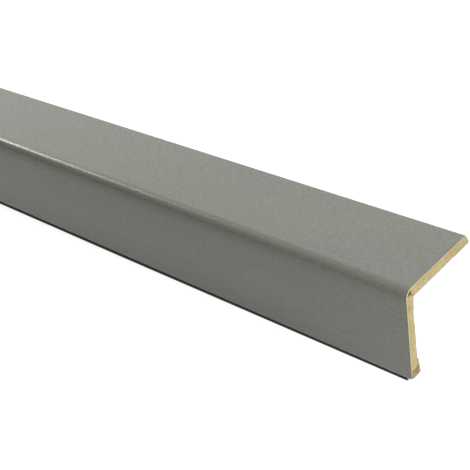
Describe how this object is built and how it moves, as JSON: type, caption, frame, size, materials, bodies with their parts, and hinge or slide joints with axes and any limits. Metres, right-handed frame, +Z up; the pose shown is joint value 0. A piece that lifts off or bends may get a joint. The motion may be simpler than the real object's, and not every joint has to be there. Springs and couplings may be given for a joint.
{
  "type": "corner guard moulding",
  "caption": "Right-angle corner guard moulding: thin fibreboard leaves under one grey decor laminate, folded over the corner and turned round both free edges.",
  "frame": {"origin": "middle of the stock's length, on the floor, centred under the fold between its two free edges", "axes": "+X along the stock, towards the cut end that the picture shows; +Z up through the fold; the top leaf of the picture is on the +Y side"},
  "size_m": [2.6, 0.0384, 0.0212],
  "materials": {
    "fibreboard": "bare medium-density fibreboard, sawn",
    "decor_laminate": "satin warm grey decor with a fine leather grain; cream paper cut edge"
  },
  "bodies": {
    "root": {"top_leaf_board": "fibreboard", "front_leaf_board": "fibreboard", "decor_laminate": "decor_laminate"}
  },
  "joints": []
}
